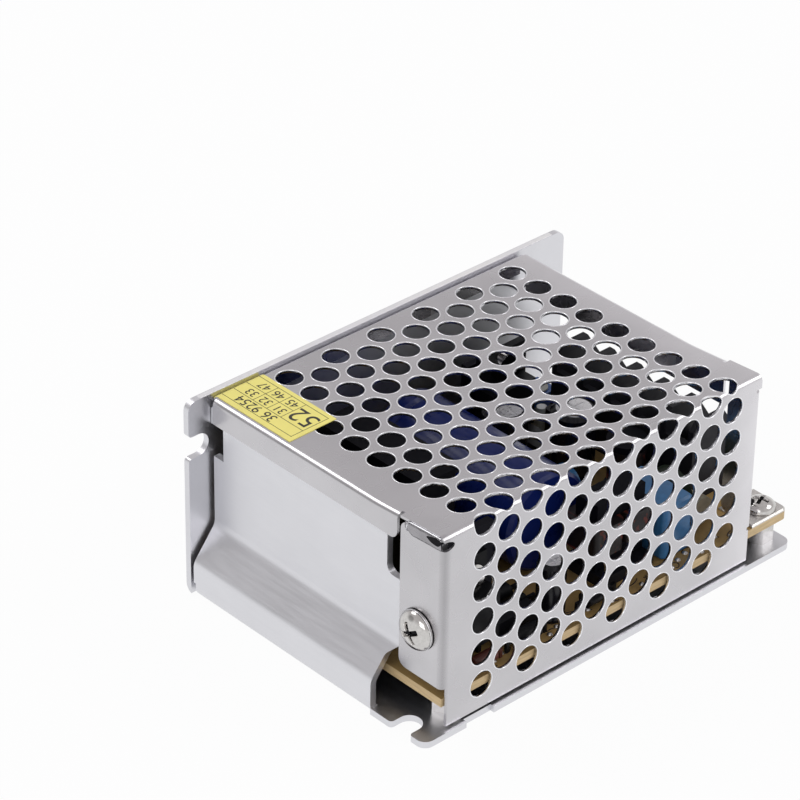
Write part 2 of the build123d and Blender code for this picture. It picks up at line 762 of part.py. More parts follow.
def package_screw(place, facing, z):
    """The screw that clamps a power package to its heatsink."""
    x, y = place
    with BuildPart() as screw:
        with Locations((x, y + facing * tab_sheet, z)):
            for radius, size, way in (screw_radius, 3.6, Align.MAX), (2.8, 1.9, Align.MIN):
                Cylinder(radius, size, rotation=(facing * -90, 0, 0), align=(Align.CENTER, Align.CENTER, way))
    return screw


# Switching transistor behind the front panel and output diode by the back plate
package_foot = board_top + 3.0
package_hole = package_foot + package_screw_height
for place, package, kind, size in (
    ((left + 10.6, front + 7.8), "switching_transistor", "transistor", (15.0, 22.0, 5.0)),
    ((right - 10.2, back - 5.2), "output_diode", "diode", (14.0, 17.0, 4.0)),
):
    save(power_package(place, -1, package_foot), package)
    save(cooler(place, size, -1, board_top, (place[0], package_hole)), f"{kind}_heatsink")
    save(package_screw(place, -1, package_hole), f"{kind}_screw")

# Output choke: a ferrite drum with its winding
drum_place = (right - 4.6, back - 31.4)
drum_top = 17.0
drum_radius, drum_neck = 3.6, 1.8
drum_rim = 1.2
with BuildPart() as output_choke_core:
    with BuildSketch(Plane.XZ):
        with BuildLine():
            Polyline(
                (0, board_top),
                (drum_radius, board_top),
                (drum_radius, board_top + drum_rim),
                (drum_neck, board_top + drum_rim),
                (drum_neck, drum_top - drum_rim),
                (drum_radius, drum_top - drum_rim),
                (drum_radius, drum_top),
                (0, drum_top),
                close=True,
            )
        make_face()
    revolve()
output_choke_core.part.position = (*drum_place, 0)
save(output_choke_core, "output_choke_core")
with BuildPart() as output_choke_winding:
    with BuildSketch(Plane.XY.offset(board_top + drum_rim + winding_gap)):
        with Locations(drum_place):
            Circle(drum_radius - 0.3)
            Circle(drum_neck + winding_gap, mode=Mode.SUBTRACT)
    extrude(amount=drum_top - board_top - 2 * (drum_rim + winding_gap))
save(output_choke_winding, "output_choke_winding")


def disc(place, radius, thickness):
    """A dipped disc on two straight leads."""
    x, y = place
    with BuildPart() as part:
        with BuildSketch(Plane.YZ.offset(x - thickness / 2)):
            with Locations((y, board_top + 1.4 + radius)):
                Circle(radius)
        extrude(amount=thickness)
        legs([(x, y - radius / 2), (x, y + radius / 2)], board_top + 3)
    return part


save(disc((right - 16.9, back - 28.4), 3.3, 2.8), "y_capacitor")
save(disc((right - 7.1, front + 10.8), 4.6, 3.0), "thermistor")
save(disc((left + 13.6, front + 15.9), 3.2, 2.6), "snubber_capacitor")

# Line fuse, a tube between two caps that lies along Y
fuse_radius = 2.55
fuse_x = right - 0.15 - fuse_radius
fuse_middle = front + 12.6
fuse_length = 12.0
cap_length = 3.0
fuse_z = board_top + fuse_radius + seat
with BuildPart() as fuse:
    with Locations((fuse_x, fuse_middle, fuse_z)):
        Cylinder(fuse_radius - 0.3, fuse_length - cap_length, rotation=(90, 0, 0))
    for side in (-1, 1):
        y = fuse_middle + side * (fuse_length - cap_length) / 2
        with Locations((fuse_x, y, fuse_z)):
            Cylinder(fuse_radius, cap_length, rotation=(90, 0, 0))
        legs([(fuse_x, y)], fuse_z)
save(fuse, "fuse")


def axial(places, radius, body, span):
    """Bodies that lie along X on leads bent down at each end."""
    side = 0.6
    z = board_top + radius + side / 2
    with BuildPart() as group:
        with Locations(*[(x, y, z) for x, y in places]):
            Cylinder(radius, body, rotation=(0, 90, 0))
            Box(span, side, side)
        legs([(x + end * (span - side) / 2, y) for x, y in places for end in (-1, 1)], z, side)
    return group


rear_x, rear_y = left + 24.2, front + 9.0
save(axial([(rear_x, rear_y), (rear_x, rear_y + 3.8)], 1.4, 5.0, 10.0), "rectifier_diodes_rear")
save(axial([(left + 20.6, front + 2.2), (left + 36.6, front + 2.4)], 1.4, 5.0, 9.0), "rectifier_diodes_front")
save(axial([(left + 11.0, front + 2.0), (right - 11.4, front + 18.8)], 1.15, 4.6, 8.0), "resistors")

# Controller, its optocoupler and the output's voltage reference
chip_lift = 0.6


def packaged_chip(place, size, pins):
    """A moulded chip on short leads, which are placed from its middle."""
    x, y = place
    with BuildPart() as chip:
        with Locations((x, y, board_top + chip_lift)):
            Box(*size, align=(Align.CENTER, Align.CENTER, Align.MIN))
        legs([(x + i, y + j) for i, j in pins], board_top + chip_lift + 0.1, side=0.5)
    return chip


in_line = [(i * pin_pitch, 0) for i in (-1.5, -0.5, 0.5, 1.5)]
in_corners = [(side * 2.0, i * pin_pitch / 2) for side in (-1, 1) for i in (-1, 1)]
save(packaged_chip((left + 20.8, front + 5.8), (9.2, 2.4, 3.3), in_line), "controller_chip")
save(packaged_chip((right - 9.2, back - 13.8), (4.6, 6.4, 3.4), in_corners), "optocoupler")

reference_x, reference_y = right - 3.0, back - 13.4
reference_radius = 2.3
reference_foot = board_top + 2.5
with BuildPart() as voltage_reference:
    with BuildSketch(Plane.XY.offset(reference_foot)):
        with Locations((reference_x, reference_y)):
            Circle(reference_radius)
        with Locations((reference_x, reference_y + 0.6 * reference_radius)):
            Rectangle(
                2 * reference_radius,
                2 * reference_radius,
                align=(Align.CENTER, Align.MIN),
                mode=Mode.SUBTRACT,
            )
    extrude(amount=2 * reference_radius)
    legs([(reference_x + i * pin_pitch / 2, reference_y) for i in (-1, 0, 1)], reference_foot + 0.1, side=0.45)
save(voltage_reference, "voltage_reference")

# Voltage trimmer with its slotted rotor, and the indicator lamp beside it
trimmer_place = (right + 1.3, back - 3.8)
trimmer_side = 5.0
trimmer_height = 4.6
rotor_radius = 1.9
rotor_depth = 2.4
rotor_proud = 0.3
rotor_slot = 0.6
with BuildPart() as trimmer:
    with Locations((*trimmer_place, board_top)):
        Box(trimmer_side, trimmer_side, trimmer_height, align=(Align.CENTER, Align.CENTER, Align.MIN))
    with Locations((*trimmer_place, board_top + trimmer_height)):
        Cylinder(
            rotor_radius + running_gap,
            rotor_depth,
            align=(Align.CENTER, Align.CENTER, Align.MAX),
            mode=Mode.SUBTRACT,
        )
save(trimmer, "trimmer")
with BuildPart() as trimmer_rotor:
    with Locations((*trimmer_place, board_top + trimmer_height + rotor_proud)):
        Cylinder(
            rotor_radius,
            rotor_depth + rotor_proud - running_gap,
            align=(Align.CENTER, Align.CENTER, Align.MAX),
        )
        Box(3 * rotor_radius, rotor_slot, 2 * rotor_slot, mode=Mode.SUBTRACT)
save(trimmer_rotor, "trimmer_rotor")

lamp_place = (right - 2.2, back - 8.5)
lamp_radius = 1.5
lamp_height = 4.4
with BuildPart() as indicator_lamp:
    with BuildSketch(Plane.XZ):
        with BuildLine():
            Polyline(
                (0, 0),
                (lamp_radius, 0),
                (lamp_radius, 0.7 * lamp_height),
                (0.6 * lamp_radius, lamp_height),
                (0, lamp_height),
                close=True,
            )
        make_face()
    revolve()
indicator_lamp.part.position = (*lamp_place, board_top)
save(indicator_lamp, "indicator_lamp")
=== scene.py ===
import json
import math
from collections import namedtuple

import bmesh
import bpy
from mathutils import Matrix, Vector


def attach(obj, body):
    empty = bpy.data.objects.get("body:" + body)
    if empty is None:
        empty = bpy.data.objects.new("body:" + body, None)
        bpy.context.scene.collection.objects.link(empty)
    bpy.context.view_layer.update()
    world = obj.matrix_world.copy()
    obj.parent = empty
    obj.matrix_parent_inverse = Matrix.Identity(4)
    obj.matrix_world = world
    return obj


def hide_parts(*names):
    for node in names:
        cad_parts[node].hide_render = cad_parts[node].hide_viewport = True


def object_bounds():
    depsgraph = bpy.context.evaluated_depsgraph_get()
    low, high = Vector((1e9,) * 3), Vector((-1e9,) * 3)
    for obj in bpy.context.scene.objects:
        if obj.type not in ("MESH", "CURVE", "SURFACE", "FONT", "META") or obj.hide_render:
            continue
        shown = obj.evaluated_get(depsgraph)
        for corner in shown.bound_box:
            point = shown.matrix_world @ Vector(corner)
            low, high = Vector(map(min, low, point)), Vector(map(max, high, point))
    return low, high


MM = 0.001

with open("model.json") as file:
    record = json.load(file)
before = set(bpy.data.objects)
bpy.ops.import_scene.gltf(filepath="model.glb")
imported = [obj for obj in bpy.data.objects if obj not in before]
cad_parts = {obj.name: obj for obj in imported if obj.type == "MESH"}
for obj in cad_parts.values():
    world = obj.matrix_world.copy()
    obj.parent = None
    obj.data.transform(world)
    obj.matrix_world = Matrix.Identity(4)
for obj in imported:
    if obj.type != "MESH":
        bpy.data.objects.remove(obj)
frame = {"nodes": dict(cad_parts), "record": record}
nodes = frame["nodes"]
cad_low, cad_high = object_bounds()

# Camera: looks along the case's diagonal from its end wall's side
AZIMUTH = math.radians(43.141)
ELEVATION = math.radians(32.593)
ROLL = math.radians(0.970)
CAMERA_PLACE = (-0.376435, -0.378366, 0.374325)
FOCAL_LENGTH = 174.53
camera_data = bpy.data.cameras.new("camera")
camera_data.sensor_width = 36.0
camera_data.lens = FOCAL_LENGTH
camera_data.clip_start = 0.05
camera_data.clip_end = 20.0
camera = bpy.data.objects.new("camera", camera_data)
camera.matrix_world = (
    Matrix.Translation(CAMERA_PLACE)
    @ Matrix.Rotation(-AZIMUTH, 4, "Z")
    @ Matrix.Rotation(math.pi / 2 - ELEVATION, 4, "X")
    @ Matrix.Rotation(ROLL, 4, "Z")
)
bpy.context.scene.collection.objects.link(camera)
bpy.context.scene.camera = camera
bpy.context.scene.view_settings.view_transform = "Standard"


class Nodes:
    """A material's node tree, with short calls for what the materials here share."""

    def __init__(self, name):
        self.material = bpy.data.materials.new(name)
        self.material.use_nodes = True
        self.tree = self.material.node_tree
        self.tree.nodes.clear()
        self.output = self.add("ShaderNodeOutputMaterial")

    def add(self, kind, **values):
        node = self.tree.nodes.new(kind)
        for key, value in values.items():
            if key in node.inputs:
                node.inputs[key].default_value = value
            else:
                setattr(node, key, value)
        return node

    def link(self, source, target):
        self.tree.links.new(source, target)

    def coordinates(self, scale):
        place = self.add("ShaderNodeTexCoord")
        mapping = self.add("ShaderNodeMapping")
        mapping.inputs["Scale"].default_value = scale
        self.link(place.outputs["Object"], mapping.inputs["Vector"])
        return mapping.outputs["Vector"]

    def noise(self, scale, size, detail):
        noise = self.add("ShaderNodeTexNoise", Scale=size, Detail=detail, Roughness=0.5)
        self.link(self.coordinates(scale), noise.inputs["Vector"])
        return noise.outputs["Fac"]

    def ramp(self, value, *stops):
        ramp = self.add("ShaderNodeValToRGB")
        elements = ramp.color_ramp.elements
        while len(elements) < len(stops):
            elements.new(0.5)
        for element, (place, colour) in zip(elements, stops):
            element.position = place
            element.color = (*colour, 1.0)
        self.link(value, ramp.inputs["Fac"])
        return ramp.outputs["Color"]

    def spread(self, value, low, high, start=0.3, end=0.7):
        spread = self.add("ShaderNodeMapRange")
        for key, number in (("From Min", start), ("From Max", end), ("To Min", low), ("To Max", high)):
            spread.inputs[key].default_value = number
        self.link(value, spread.inputs["Value"])
        return spread.outputs["Result"]

    def bump(self, shader, height, distance):
        bump = self.add("ShaderNodeBump", Distance=distance, Strength=1.0)
        self.link(height, bump.inputs["Height"])
        self.link(bump.outputs["Normal"], shader.inputs["Normal"])

    def principled(self, **values):
        shader = self.add("ShaderNodeBsdfPrincipled")
        for key, value in values.items():
            shader.inputs[key.replace("_", " ")].default_value = value
        self.link(shader.outputs["BSDF"], self.output.inputs["Surface"])
        return shader


def tone(colour, share):
    return tuple(min(1.0, c * share) for c in colour)


# How dark and how wide the painted dark reflection along a fold is
FOLD_SHADE_SHARE = 0.74
FOLD_SHADE_REACH = (0.0001, 0.0011)


def sheet_metal(name, colour, low, high, grain, mottle=0.05, bump=0.000004, painted_sheen_end=None, bend=None):
    """Rolled sheet: a faint grain along one axis, soft mottling and uneven gloss.

    Given an end (start, end, share), the colour is made paler by that share from start to end along X: a
    painted sheen toward that end.
    Along the upright line through the point bend (x, y) it is painted darker: a painted dark reflection on
    the fold.
    """
    m = Nodes(name)
    shader = m.principled(Metallic=1.0, IOR=1.5)
    cloud = m.noise((1, 1, 1), 90, 3)
    colours = m.ramp(cloud, (0.3, tone(colour, 1 - mottle)), (0.7, tone(colour, 1 + mottle)))
    # Painted sheen: a paler colour toward the +X end stands in for brighter reflection there
    if painted_sheen_end:
        start, end, share = painted_sheen_end
        along = m.add("ShaderNodeSeparateXYZ")
        m.link(m.coordinates((1, 1, 1)), along.inputs["Vector"])
        painted_sheen = m.add("ShaderNodeMix", data_type="RGBA", blend_type="MULTIPLY")
        painted_sheen.inputs[0].default_value = 1.0
        m.link(colours, painted_sheen.inputs[6])
        m.link(m.spread(along.outputs["X"], 1.0, share, start, end), painted_sheen.inputs[7])
        colours = painted_sheen.outputs[2]
    # Painted dark reflection along the upright fold
    if bend:
        place = m.add("ShaderNodeTexCoord")
        offset = m.add("ShaderNodeVectorMath", operation="SUBTRACT")
        offset.inputs[1].default_value = (*bend, 0)
        flat = m.add("ShaderNodeVectorMath", operation="MULTIPLY")
        flat.inputs[1].default_value = (1, 1, 0)
        far = m.add("ShaderNodeVectorMath", operation="LENGTH")
        painted_fold_shade = m.add("ShaderNodeMix", data_type="RGBA", blend_type="MULTIPLY")
        painted_fold_shade.inputs[0].default_value = 1.0
        m.link(place.outputs["Object"], offset.inputs[0])
        m.link(offset.outputs[0], flat.inputs[0])
        m.link(flat.outputs[0], far.inputs[0])
        m.link(colours, painted_fold_shade.inputs[6])
        m.link(m.spread(far.outputs["Value"], FOLD_SHADE_SHARE, 1.0, *FOLD_SHADE_REACH), painted_fold_shade.inputs[7])
        colours = painted_fold_shade.outputs[2]
    m.link(colours, shader.inputs["Base Color"])
    lines = m.noise(grain, 1.0, 2)
    m.link(m.spread(lines, low, high), shader.inputs["Roughness"])
    m.bump(shader, lines, bump)
    return m.material


def plated(name, colour, low=0.15, high=0.35, bump=0.000006):
    """Plated or solder-coated metal with fine unevenness."""
    m = Nodes(name)
    shader = m.principled(Metallic=1.0)
    grain = m.noise((1, 1, 1), 1800, 3)
    m.link(m.ramp(grain, (0.3, tone(colour, 0.88)), (0.7, tone(colour, 1.05))), shader.inputs["Base Color"])
    m.link(m.spread(grain, low, high), shader.inputs["Roughness"])
    m.bump(shader, grain, bump)
    return m.material


def moulded(name, colour, low, high, coat=0.0, size=900, bump=0.00001, mottle=0.12, gloss=0.5):
    """Plastic, lacquer or film with a slight grain."""
    m = Nodes(name)
    shader = m.principled(Coat_Weight=coat, Coat_Roughness=0.12, Specular_IOR_Level=gloss)
    grain = m.noise((1, 1, 1), size, 4)
    colours = m.ramp(grain, (0.3, tone(colour, 1 - mottle)), (0.7, tone(colour, 1 + mottle)))
    m.link(colours, shader.inputs["Base Color"])
    m.link(m.spread(grain, low, high), shader.inputs["Roughness"])
    m.bump(shader, grain, bump)
    return m.material


def enamel(name, dark, bright):
    """Enamelled wire, nearly black with the red of the copper on some turns."""
    m = Nodes(name)
    shader = m.principled(Roughness=0.35)
    turns = m.noise((900, 60, 900), 1.0, 2)
    m.link(m.ramp(turns, (0.56, dark), (0.68, bright)), shader.inputs["Base Color"])
    m.link(m.spread(turns, 0.3, 0.45), shader.inputs["Roughness"])
    m.bump(shader, turns, 0.00004)
    return m.material


def laminate(name, top, under, edge, split):
    """Paper laminate: tan top, an underside painted near black as painted shade under the board, and a pale
    sawn edge, told apart by direction.
    """
    m = Nodes(name)
    shader = m.principled()
    geometry = m.add("ShaderNodeNewGeometry")
    parts = m.add("ShaderNodeSeparateXYZ")
    m.link(geometry.outputs["Normal"], parts.inputs["Vector"])
    face = m.add("ShaderNodeMath", operation="ABSOLUTE")
    m.link(parts.outputs["Z"], face.inputs[0])
    fibre = m.noise((1, 1, 1), 700, 5)
    upper = m.ramp(fibre, (0.3, tone(top, 0.9)), (0.7, tone(top, 1.1)))
    # Painted shade: the underside colour is near black, so that the chassis floor under the board shows dark
    lower = m.ramp(fibre, (0.3, tone(under, 0.9)), (0.7, tone(under, 1.1)))
    sides = m.add("ShaderNodeMix", data_type="RGBA")
    m.link(m.spread(parts.outputs["Z"], 0, 1, -0.1, 0.1), sides.inputs[0])
    m.link(lower, sides.inputs[6])
    m.link(upper, sides.inputs[7])
    faces = sides.outputs[2]
    edges = m.ramp(m.noise((300, 300, 3000), 1.0, 3), (0.3, tone(edge, 0.85)), (0.7, tone(edge, 1.1)))
    mix = m.add("ShaderNodeMix", data_type="RGBA")
    m.link(m.spread(face.outputs[0], 0, 1, *split), mix.inputs[0])
    m.link(edges, mix.inputs[6])
    m.link(faces, mix.inputs[7])
    m.link(mix.outputs[2], shader.inputs["Base Color"])
    m.link(m.spread(fibre, 0.4, 0.6), shader.inputs["Roughness"])
    m.bump(shader, fibre, 0.000012)
    return m.material


MATERIALS = {
    "chassis_aluminium": sheet_metal(
        "chassis_aluminium", (0.70, 0.70, 0.73), 0.34, 0.42, (1400, 110, 2200), mottle=0.02, bump=0.000006
    ),
    # The cover metal carries a painted sheen toward its +X end
    "cover_metal": sheet_metal(
        "cover_metal", (0.56, 0.55, 0.57), 0.22, 0.30, (160, 200, 200),
        # bend places a painted dark reflection on the cover's upright front fold
        bump=0.0000012, painted_sheen_end=(0.022, 0.033, 1.30), bend=(-0.03795, -0.02790),
    ),
    "screw_steel": plated("screw_steel", (0.60, 0.585, 0.57), 0.07, 0.15, 0.0000006),
    "yellow_label": moulded("yellow_label", (0.97, 0.86, 0.24), 0.42, 0.55, size=400, mottle=0.03),
    # The board's near-black underside is painted shade under the board
    "board_laminate": laminate(
        "board_laminate", (0.42, 0.27, 0.10), (0.012, 0.014, 0.024), (0.70, 0.52, 0.28), (0.3, 0.7)
    ),
    "solder": plated("solder", (0.66, 0.64, 0.62), 0.25, 0.4, 0.00003),
    "black_moulding": moulded("black_moulding", (0.010, 0.010, 0.014), 0.45, 0.6, gloss=0.2),
    "navy_sleeve": moulded("navy_sleeve", (0.006, 0.018, 0.15), 0.25, 0.35, 0.15, 300, gloss=0.25),
    "black_sleeve": moulded("black_sleeve", (0.006, 0.006, 0.010), 0.2, 0.3, 0.2, 300, gloss=0.25),
    "light_blue_case": moulded("light_blue_case", (0.05, 0.20, 0.44), 0.3, 0.42, 0.2),
    "light_blue_dip": moulded("light_blue_dip", (0.03, 0.16, 0.36), 0.28, 0.4, 0.2),
    "green_dip": moulded("green_dip", (0.012, 0.020, 0.010), 0.3, 0.45, gloss=0.2),
    "brown_dip": moulded("brown_dip", (0.10, 0.04, 0.015), 0.25, 0.4, 0.3),
    "ferrite": moulded("ferrite", (0.004, 0.004, 0.007), 0.5, 0.65, gloss=0.1),
    "copper_wire": enamel("copper_wire", (0.012, 0.008, 0.009), (0.20, 0.035, 0.02)),
    "winding_tape": moulded("winding_tape", (0.022, 0.018, 0.010), 0.3, 0.45, 0.1, gloss=0.2),
    "package_black": moulded("package_black", (0.006, 0.006, 0.008), 0.35, 0.5, gloss=0.2),
    "heatsink_aluminium": sheet_metal(
        "heatsink_aluminium", (0.014, 0.014, 0.020), 0.35, 0.5, (400, 400, 60)
    ),
    "terminal_brass": plated("terminal_brass", (0.66, 0.62, 0.52), 0.2, 0.35),
    "fuse_tube": moulded("fuse_tube", (0.38, 0.33, 0.24), 0.3, 0.4),
    "resistor_coat": moulded("resistor_coat", (0.12, 0.03, 0.02), 0.35, 0.5),
    "trimmer_blue": moulded("trimmer_blue", (0.02, 0.10, 0.35), 0.35, 0.5),
    "rotor_white": moulded("rotor_white", (0.62, 0.61, 0.56), 0.4, 0.55),
    "lamp_clear": moulded("lamp_clear", (0.50, 0.52, 0.50), 0.1, 0.18, 0.6, 200),
}
for entry in frame["record"]["subparts"]:
    material = MATERIALS[entry["material_slot"]]
    slots = nodes[entry["node"]].data.materials
    slots.clear()
    slots.append(material)

# Paler metal as a painted highlight: on the real lips round the vents, on the flange's cut edge and on the
# cover screw's rim
HIGHLIGHT_METAL = sheet_metal("lip_highlight_metal", (0.80, 0.80, 0.83), 0.20, 0.30, (500, 500, 500))
PRINT_BLACK = moulded("print_black", (0.02, 0.018, 0.015), 0.4, 0.5)
COVER = nodes["cover"]


def piece(name, form, material, smooth=False):
    """A mesh made into a piece that moves with the case."""
    mesh = bpy.data.meshes.new(name)
    bmesh.ops.recalc_face_normals(form, faces=form.faces)
    form.to_mesh(mesh)
    form.free()
    if smooth:
        mesh.shade_smooth()
    mesh.materials.append(material)
    thing = bpy.data.objects.new(name, mesh)
    bpy.context.scene.collection.objects.link(thing)
    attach(thing, "case")
    return thing


# The lip that the punch leaves round each vent, with the vent's wall. Its profile is
# (toward the vent's middle, out of the sheet)
VENT_RADIUS = 2.4
VENT_PITCH = 6.15
VENT_STEP = 5.05
VENT_FIRST = (-29.66, 23.46, 34.06)
VENT_COLUMNS = 12
VENT_TOP_ROWS = 9
VENT_FRONT_ROWS = 5
LIP_SEGMENTS = 28
LIP_REACH = VENT_RADIUS + 0.02
LIP_PROFILE = ((-0.12, -0.01), (-0.05, 0.045), (0.04, 0.045), (0.11, -0.03), (0.11, -0.50), (-0.06, -0.50))
PROBE_START = 12  # how far off the sheet the lines that look for it begin
COVER_FRONT = -28.2
CASE_TOP = 38
BOX_TOP = cad_high[2] / MM - 0.01  # nothing stands above this, so that it stays in the solids' box


def surface(start, direction):
    """Where a line meets the cover, with the cover's normal there."""
    hit, place, normal, _ = COVER.ray_cast(Vector(start) * MM, Vector(direction).normalized())
    return (place / MM, normal) if hit else (None, None)


def lip(form, centre, across, along, aim, stretch=1.0):
    """Lofts the lip's profile round one vent, following the sheet under it."""
    ring = []
    for i in range(LIP_SEGMENTS):
        angle = 2 * math.pi * i / LIP_SEGMENTS
        outward = across * math.cos(angle) + along * (math.sin(angle) * stretch)
        place, normal = surface(centre + outward * LIP_REACH - aim * PROBE_START, aim)
        if place is None:
            return
        ring.append((place, normal))
    middle = sum((place for place, _ in ring), Vector()) / LIP_SEGMENTS
    loops = []
    for place, normal in ring:
        inward = middle - place
        inward -= normal * inward.dot(normal)
        inward.normalize()
        points = [place + inward * u + normal * w for u, w in LIP_PROFILE]
        loops.append([form.verts.new(Vector((q.x, q.y, min(q.z, BOX_TOP))) * MM) for q in points])
    count = len(LIP_PROFILE)
    for i in range(LIP_SEGMENTS):
        here, following = loops[i], loops[(i + 1) % LIP_SEGMENTS]
        for j in range(count):
            form.faces.new((here[j], following[j], following[(j + 1) % count], here[(j + 1) % count]))


X, Y, Z = Vector((1, 0, 0)), Vector((0, 1, 0)), Vector((0, 0, 1))
FOLD_AIM = Vector((0, 1, -1)).normalized()
FOLD_DOWN = Vector((0, 1, 1)).normalized()
FOLD_VENT = (-28.525, 37.675)
FOLD_STRETCH = 1 / math.sqrt(2)
form = bmesh.new()
for i in range(VENT_COLUMNS):
    staggered = i % 2 == 0
    x = VENT_FIRST[0] + i * VENT_STEP
    shift = VENT_PITCH / 2 if staggered else 0
    for row in range(VENT_TOP_ROWS - staggered):
        lip(form, Vector((x, VENT_FIRST[1] - shift - row * VENT_PITCH, CASE_TOP)), X, Y, -Z)
    if staggered:
        lip(form, Vector((x, *FOLD_VENT)), X, -FOLD_DOWN, FOLD_AIM, FOLD_STRETCH)
    for row in range(VENT_FRONT_ROWS):
        lip(form, Vector((x, COVER_FRONT, VENT_FIRST[2] - shift - row * VENT_PITCH)), X, Z, Y)
# The lips are drawn in the paler metal, a painted highlight round each vent
piece("vent_lips", form, HIGHLIGHT_METAL, smooth=True)

# The crumpled metal under the cut corner of the cover, at the top of its side flange, coloured darker than
# the cover as a painted dark reflection
CREASE_REFLECTION_METAL = sheet_metal(
    "crease_painted_reflection", (0.40, 0.39, 0.41), 0.20, 0.34, (700, 500, 2200), mottle=0.35, bump=0.00005
)
# Near-black stand-in for shade: painted shade in the open corner and in the screws' crosses, and painted
# shadow rings round the cover screw's head
SHADE_BLACK = moulded("painted_shade_black", (0.006, 0.006, 0.008), 0.5, 0.7, gloss=0.1)
FLANGE_FACE = -38.4
FLANGE_BACK = -19.6
FLANGE_TOP = 36.45
RISE_END = -12.16  # where the cover's top begins to climb toward its crest
RISE_SLOPE = 0.0676
RISE_SHARE = 0.9  # how much of that climb the flange's upper edge follows
CREASE_BACK = FLANGE_BACK + 0.3
CREASE_FRONT = -27.4
CREASE_LOW = 1.1
CREASE_GROWTH = 0.9
CREASE_GROWTH_RATE = 5
CREASE_STEPS_ALONG = 36
CREASE_STEPS_UP = 6
CREASE_SWELL = 0.10
CREASE_WRINKLE = 0.05
CREASE_LIFT = 0.01
CREASE_SHEET = 0.12


def climb(y):
    """How far the flange's upper edge has climbed at a place along the cover."""
    return RISE_SLOPE * max(0.0, RISE_END - y) * RISE_SHARE


def crease_height(share):
    """How far the crumpled band reaches down the flange, from its back end to its front."""
    return CREASE_LOW + CREASE_GROWTH * min(1.0, share * CREASE_GROWTH_RATE)


form = bmesh.new()
grid = []
for i in range(CREASE_STEPS_ALONG + 1):
    share = i / CREASE_STEPS_ALONG
    y = CREASE_BACK + (CREASE_FRONT - CREASE_BACK) * share
    top = FLANGE_TOP + climb(y)
    low = top - crease_height(share)
    column = []
    for j in range(CREASE_STEPS_UP + 1):
        part = j / CREASE_STEPS_UP
        bow = math.sin(math.pi * part)
        swell = bow * CREASE_SWELL + CREASE_WRINKLE * math.sin(i * 1.9 + j * 2.3) * bow
        place = Vector((FLANGE_FACE - CREASE_LIFT - abs(swell), y, low + (top - low) * part))
        column.append(form.verts.new(place * MM))
    grid.append(column)
for i in range(CREASE_STEPS_ALONG):
    for j in range(CREASE_STEPS_UP):
        form.faces.new((grid[i][j], grid[i + 1][j], grid[i + 1][j + 1], grid[i][j + 1]))
back = bmesh.ops.extrude_face_region(form, geom=form.faces[:])
moved = [v for v in back["geom"] if isinstance(v, bmesh.types.BMVert)]
bmesh.ops.translate(form, verts=moved, vec=Vector((CREASE_SHEET, 0, 0)) * MM)
piece("flange_crease", form, CREASE_REFLECTION_METAL, smooth=True)


def tube(form, path, radius, sides=10, closed=False):
    """A round bar along a path of points, in millimetres."""
    loops = []
    for i, place in enumerate(path):
        before = path[i - 1] if i or closed else path[0]
        after = path[(i + 1) % len(path)] if i + 1 < len(path) or closed else path[-1]
        run = (after - before).normalized()
        side = run.cross(Z if abs(run.z) < 0.9 else X).normalized()
        up = run.cross(side)
        loops.append([
            form.verts.new((place + (side * math.cos(a) + up * math.sin(a)) * radius) * MM)
            for a in (2 * math.pi * k / sides for k in range(sides))
        ])
    for i in range(len(path) if closed else len(path) - 1):
        here, following = loops[i], loops[(i + 1) % len(path)]
        for k in range(sides):
            form.faces.new((here[k], following[k], following[(k + 1) % sides], here[(k + 1) % sides]))
    if not closed:
        form.faces.new(loops[0])
        form.faces.new(loops[-1])


# A painted highlight on the cut edge over the crease: a bright tube up the flange's back edge and along its
# top
EDGE_FOOT = 35.4
EDGE_BEND = 36.3
EDGE_TOP = 36.78
EDGE_POINTS = 12
EDGE_STEP = 0.66
EDGE_RADIUS = 0.13
form = bmesh.new()
edge = [
    Vector((FLANGE_FACE - 0.02, FLANGE_BACK - 0.1, EDGE_FOOT)),
    Vector((FLANGE_FACE - 0.04, FLANGE_BACK - 0.15, EDGE_BEND)),
]
for i in range(EDGE_POINTS):
    y = FLANGE_BACK - 0.5 - i * EDGE_STEP
    edge.append(Vector((FLANGE_FACE - 0.03, y, EDGE_TOP + climb(y))))
tube(form, edge, EDGE_RADIUS)
piece("flange_edge_highlight", form, HIGHLIGHT_METAL, smooth=True)

# Painted shade in the open corner in front of the crease: an uneven dark oval
GAP_POINTS = 20
GAP_MIDDLE = (-25.9, 36.62)
GAP_HALF_LENGTH = 1.6
GAP_HALF_HEIGHT = 0.55
form = bmesh.new()
oval = []
for k in range(GAP_POINTS):
    a = 2 * math.pi * k / GAP_POINTS
    y = GAP_MIDDLE[0] + GAP_HALF_LENGTH * math.cos(a) * (1 + 0.12 * math.sin(3 * a))
    z = GAP_MIDDLE[1] + GAP_HALF_HEIGHT * math.sin(a) * (1.1 - 0.4 * math.cos(a)) - 0.06 * math.cos(a)
    oval.append(Vector((0, y, z)))
outer, inner = (
    [form.verts.new((point + X * x) * MM) for point in oval] for x in (FLANGE_FACE - 0.16, FLANGE_FACE + 0.1)
)
for k in range(GAP_POINTS):
    following = (k + 1) % GAP_POINTS
    form.faces.new((outer[k], inner[k], inner[following], outer[following]))
form.faces.new(outer)
form.faces.new(inner)
piece("flange_corner_shade", form, SHADE_BLACK)

# A painted highlight along the top edge of the back plate: a near-white ribbon laid on it
EDGE_HIGHLIGHT_METAL = sheet_metal("edge_highlight_metal", (0.97, 0.97, 1.0), 0.30, 0.42, (900, 900, 900))
CHASSIS = nodes["chassis"]
PLATE_START = (-39.8, 28.4, 60)
PLATE_STEP = 1.59
PLATE_POINTS = 51
PLATE_EDGE_WIDTH = 0.95
RIBBON_LIFT = 0.025
RIBBON_SINK = -0.05


